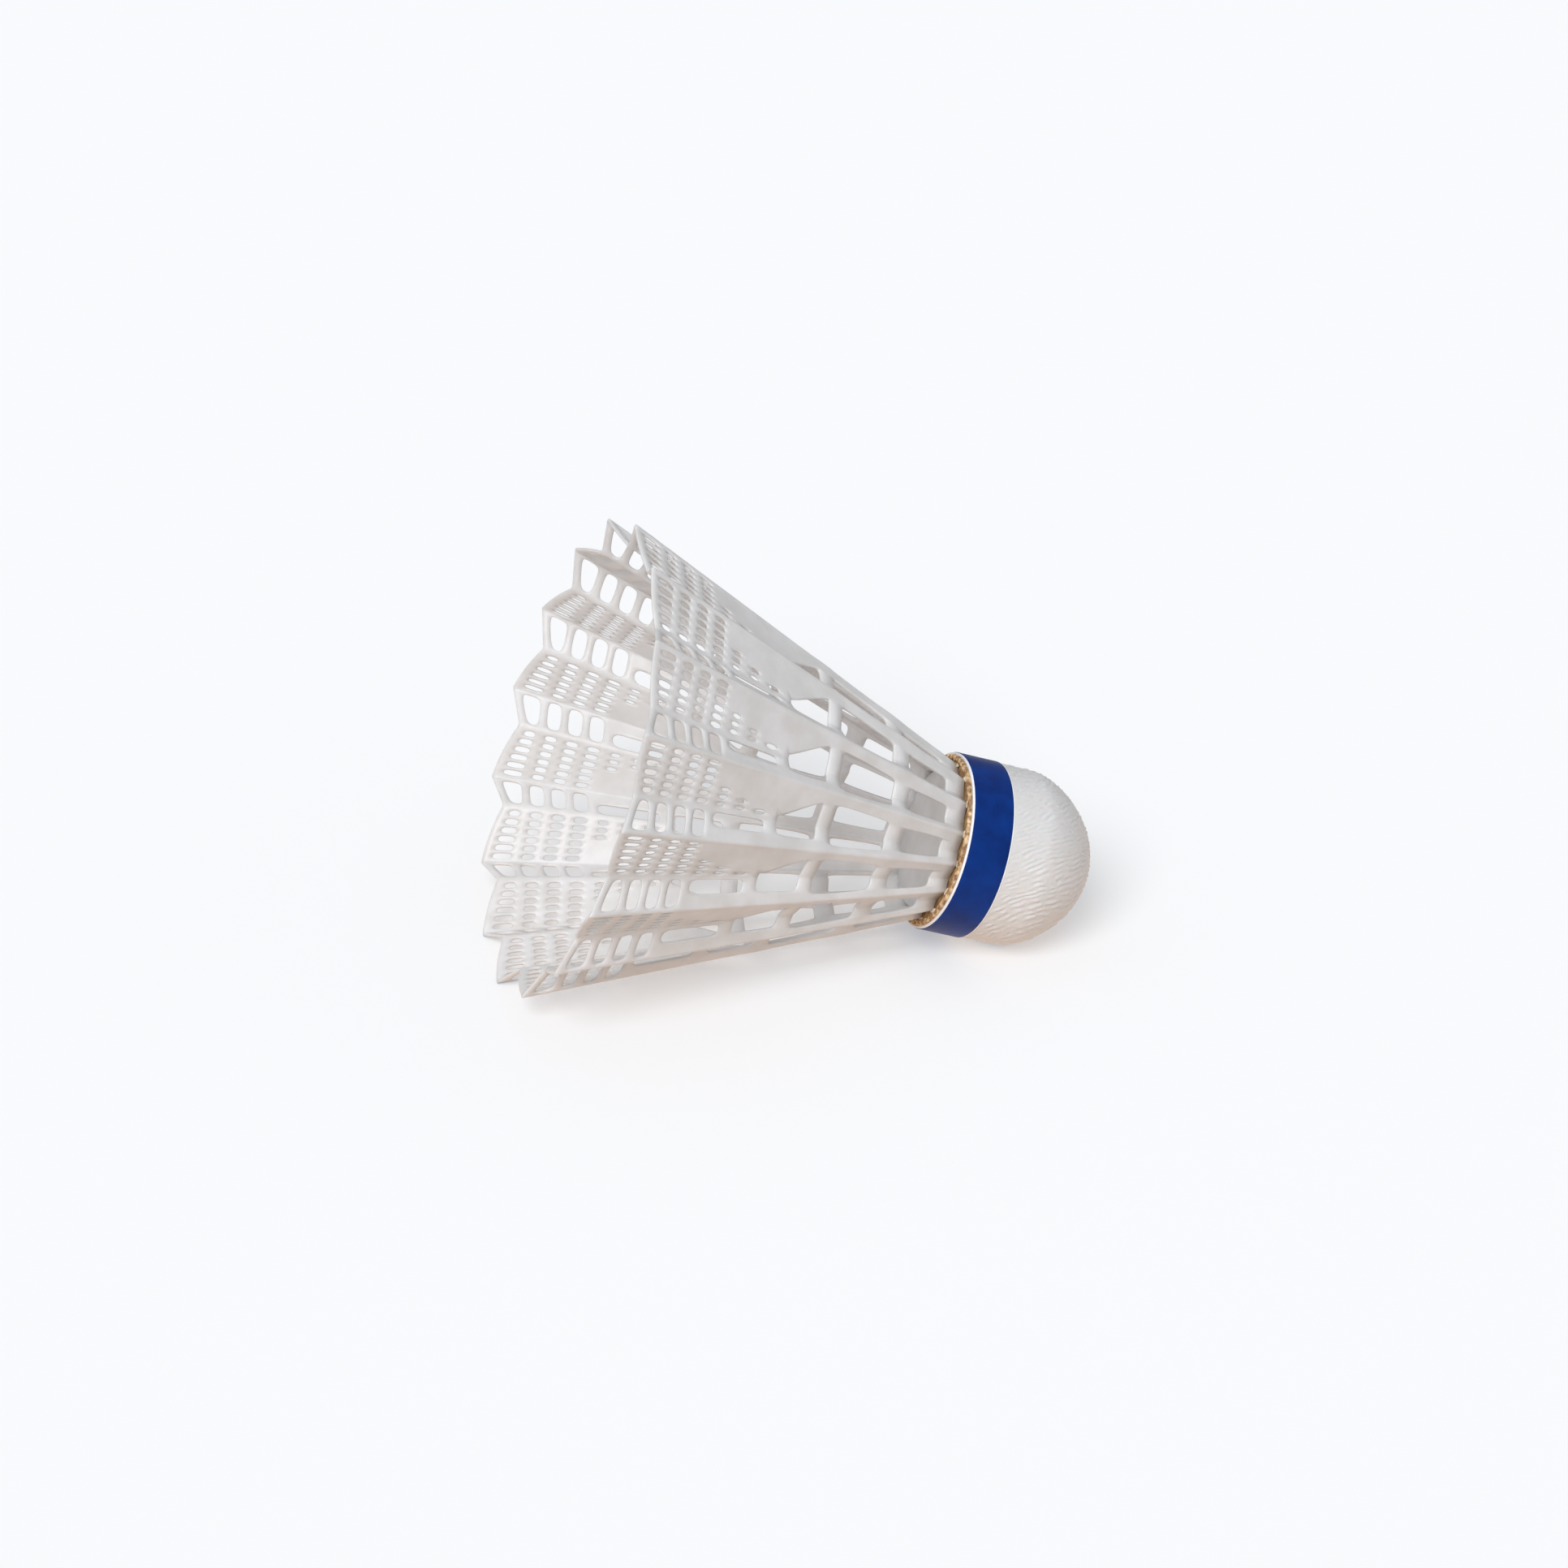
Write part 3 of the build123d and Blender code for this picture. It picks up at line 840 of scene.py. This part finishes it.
# %% The skin's finish
skin_finish, _, _ = finish(
    "white coated skin",
    ((0.655, 0.65, 0.65), (0.685, 0.68, 0.68)),
    1.4,
    (0.38, 0.52),
    bump=0.05,
    bump_scale=3.0,
    Specular_IOR_Level=0.5,
    Subsurface_Weight=0.1,
    Subsurface_Scale=0.4 * MM,
)
finished(skin, skin_finish, "base_cover", "base_cover")

# %% [markdown]
# ## Tape and ribbon
#
# A white tape binds the edge of the skin, and the coloured ribbon lies on it, a little narrower, so
# that a hair of white shows on both sides. Each is a strip of film with rounded edges. No ribbon
# lies dead flat, so its outside creeps in and out by a hundredth of a millimetre.


# %% Helper: a film wrapped round the base
FILM_STEPS, FILM_ROWS, FILM_ROUND = 256, 8, 3
EDGE_SHARE = 0.45                        # of the film's thickness: the radius of its edges
CREEP_WAVES = 0.35


def wrapped(name, inside, thickness, span, creep=0.0):
    high, low = span
    edge = thickness * EDGE_SHARE
    out = inside + thickness
    line = [(inside, high)] + arc(out - edge, high - edge, edge, 90, 0, FILM_ROUND)
    line += [(out, high + (low - high) * k / FILM_ROWS) for k in range(1, FILM_ROWS)]
    line += arc(out - edge, low + edge, edge, 0, -90, FILM_ROUND) + [(inside, low)]
    made = spun(name, line, FILM_STEPS)
    for v in made.data.vertices:
        r = sqrt(v.co.x**2 + v.co.y**2)
        if r > inside + edge:
            push = creep * noise.noise(v.co * CREEP_WAVES)
            v.co.x, v.co.y = v.co.x * (1 + push / r), v.co.y * (1 + push / r)
    return made


TAPE_SPAN, RIBBON_SPAN, RIBBON_CREEP = (-0.42, -6.82), (-0.70, -6.59), 0.012
tape = wrapped("white_edge_tape", COVER_R, TAPE_T, TAPE_SPAN)
ribbon = wrapped("blue_ribbon", COVER_R + TAPE_T, RIBBON_T, RIBBON_SPAN, creep=RIBBON_CREEP)

# %% Their finishes
tape_finish, _, _ = finish(
    "white film",
    ((0.90, 0.91, 0.93), (0.93, 0.94, 0.96)),
    0.4,
    (0.28, 0.36),
    bump=0.01,
    bump_scale=2.0,
)
ribbon_finish, _, _ = finish(
    "deep blue film",
    ((0.0, 0.019, 0.14), (0.0, 0.031, 0.21)),
    0.3,
    (0.42, 0.52),
    bump=0.02,
    bump_scale=0.9,
    Specular_IOR_Level=0.14,
)
finished(tape, tape_finish, "edge_binding", "edge_binding")
finished(ribbon, ribbon_finish, "speed_band", "speed_band")

# %% [markdown]
# ## Glue
#
# Glue fills the seat under the skirt's foot and oozes out at each fold, where it dries as a tan
# lump. The film itself is the frame's own piece. The lumps repeat sixteen times but no two are
# alike, so Geometry Nodes sets one lump at each fold, and noise then pushes each differently.

# %% A lump of glue at the foot of each fold
glue_finish, _, _ = finish(
    "dried glue",
    ((0.58, 0.44, 0.29), (0.76, 0.66, 0.52)),
    0.8,
    (0.50, 0.65),
    bump=0.05,
    bump_scale=2.5,
    Subsurface_Weight=0.3,
    Subsurface_Scale=0.6 * MM,
)
LUMP_SIZE = (0.36, 0.62, 0.24)           # half its length outwards, along the ring and upwards
LUMP_AT = (11.2, 0.0, -0.20)             # at the foot of a fold, sunk in the seat
LUMP_PUSHES = ((0.9, 0.28), (2.4, 0.08))   # waves in a millimetre and how far they push
lump_shape = bmesh.new()
bmesh.ops.create_icosphere(lump_shape, subdivisions=3, radius=1.0)
bmesh.ops.scale(lump_shape, vec=LUMP_SIZE, verts=lump_shape.verts)
bmesh.ops.translate(lump_shape, vec=LUMP_AT, verts=lump_shape.verts)
lump_mesh = bpy.data.meshes.new("lump")
lump_shape.to_mesh(lump_mesh)
lump_shape.free()
lump = shown("lump", lump_mesh)
lumps = round_the_axis("glue_lumps", lump, TEETH, TIP_TURN, 0.0, glue_finish)
bpy.data.objects.remove(lump)
noise.seed_set(1)                        # or the vector noise would differ from run to run
for v in lumps.data.vertices:
    pushes = [Vector(noise.noise_vector(v.co * waves)) * far for waves, far in LUMP_PUSHES]
    v.co += pushes[0] + pushes[1]
finished(lumps, glue_finish, "neck_glue")

# %% The frame's own glue pieces, coloured dark brown: painted shade for the gaps at the skirt's foot
# painted shade: the film's dark brown stands for the shadow in the gaps between the skirt's foot and the
# cork
shade_brown_film_finish, _, _ = finish("glue film in painted shade", ((0.22, 0.12, 0.05), (0.42, 0.26, 0.12)), 1.3, (0.5, 0.7))
for name in ("neck_glue", "plug_adhesive"):
    film = frame["nodes"][name]
    film.data.materials.clear()
    film.data.materials.append(shade_brown_film_finish)

# %% [markdown]
# ## Floor, light and camera
#
# The set is a plain studio: a pale floor, one soft source from the camera's side and above, a wide
# one overhead, and an even sky to lift the shadows. A sun with a wide disc lights the whole floor
# evenly, which an area light so near would not. A warm reflector lies flat under the object and
# gives its underside the colour of a wooden table. Colours are shown as they are, without a film
# curve.

# %% Floor
bpy.context.scene.view_settings.view_transform = "Standard"
FLOOR = 6.0                              # metres from the middle to each side
corners = [(x * FLOOR, y * FLOOR, 0) for x, y in ((-1, -1), (1, -1), (1, 1), (-1, 1))]
floor_mesh = mesh_of("floor", corners, [(0, 1, 2, 3)])
floor = shown("floor", floor_mesh)
floor_finish = bpy.data.materials.new("pale floor")
floor_finish.use_nodes = True
for socket, value in (
    ("Base Color", (0.60, 0.605, 0.615, 1)),
    ("Emission Color", (0.985, 0.99, 1, 1)),
    ("Emission Strength", 0.348),
    ("Roughness", 1.0),
    ("Specular IOR Level", 0.1),
):
    floor_finish.node_tree.nodes["Principled BSDF"].inputs[socket].default_value = value
floor_mesh.materials.append(floor_finish)
floor.visible_diffuse = False            # it shows, but it doesn't wash out the undersides
floor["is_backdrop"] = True


# %% Lights
def soft_sun(name, comes_from, width, power, tint=(1, 1, 1)):
    data = bpy.data.lights.new(name, "SUN")
    data.angle, data.energy, data.color = radians(width), power, tint
    lamp = bpy.data.objects.new(name, data)
    bpy.context.scene.collection.objects.link(lamp)
    lamp.rotation_mode = "QUATERNION"
    lamp.rotation_quaternion = (-Vector(comes_from)).to_track_quat("-Z", "Y")
    return lamp


soft_sun("key", (-0.45, -0.72, 0.78), 30, 2.35)
soft_sun("ceiling", (-0.1, -0.2, 1.0), 150, 0.62, (0.94, 0.97, 1.0))

# %% The warm reflector and the sky
warm_data = bpy.data.lights.new("warm_reflector", "AREA")
warm_data.size, warm_data.energy, warm_data.color = 0.26, 0.085, (1.0, 0.56, 0.26)
warm = bpy.data.objects.new("warm_reflector", warm_data)
bpy.context.scene.collection.objects.link(warm)
warm.location = (0, 0, 0.0004)           # just above the floor
warm.rotation_euler = (pi, 0, 0)         # faces up
warm.visible_camera = False
sky = bpy.data.worlds.new("sky")
sky.use_nodes = True
glow = sky.node_tree.nodes["Background"].inputs
glow["Color"].default_value = (0.95, 0.97, 1.0, 1)
glow["Strength"].default_value = 0.33
bpy.context.scene.world = sky

# %% [markdown]
# The camera is placed about the axis as well: how far the mouth turns towards it, and how far the
# nose tips down in the frame. Its aim is then nudged so that the neck falls where it should.

# %% Camera
FAR = 0.69604                            # metres from the neck
MOUTH_TURN, NOSE_DIP = radians(21.10), radians(12.73)
SIDE = radians(114.95)                   # which side of the axis faces the camera, from straight down
LENS, SENSOR = 113.9, 36.0
AIM = (0.594933, 0.535285)               # the neck's place in the frame: shares from its top left


def about_axis(turn):
    return to_floor * cos(turn) + to_mouth.cross(to_floor) * sin(turn)


facing = about_axis(SIDE)
to_camera = facing * cos(MOUTH_TURN) + to_mouth * sin(MOUTH_TURN)
along_nose = (-to_mouth + to_camera * sin(MOUTH_TURN)) / cos(MOUTH_TURN)
across = to_camera.cross(along_nose)
right = along_nose * cos(NOSE_DIP) + across * sin(NOSE_DIP)
up = to_camera.cross(right)
turn_right = (AIM[0] - 0.5) * SENSOR / LENS
turn_down = (AIM[1] - 0.5) * SENSOR / LENS
look = (-to_camera - right * turn_right + up * turn_down).normalized()
right = (right - look * right.dot(look)).normalized()
up = right.cross(look)
camera_data = bpy.data.cameras.new("camera")
camera_data.lens, camera_data.sensor_width = LENS, SENSOR
camera = bpy.data.objects.new("camera", camera_data)
camera.matrix_world = Matrix.Translation(seat + to_camera * FAR) @ Matrix(
    [[right[k], up[k], -look[k]] for k in range(3)]
).to_4x4()
bpy.context.scene.collection.objects.link(camera)
bpy.context.scene.camera = camera
print("camera at", [round(v, 3) for v in camera.location], "looking", [round(v, 3) for v in look])

# %% Sizes, and the end
low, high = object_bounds()
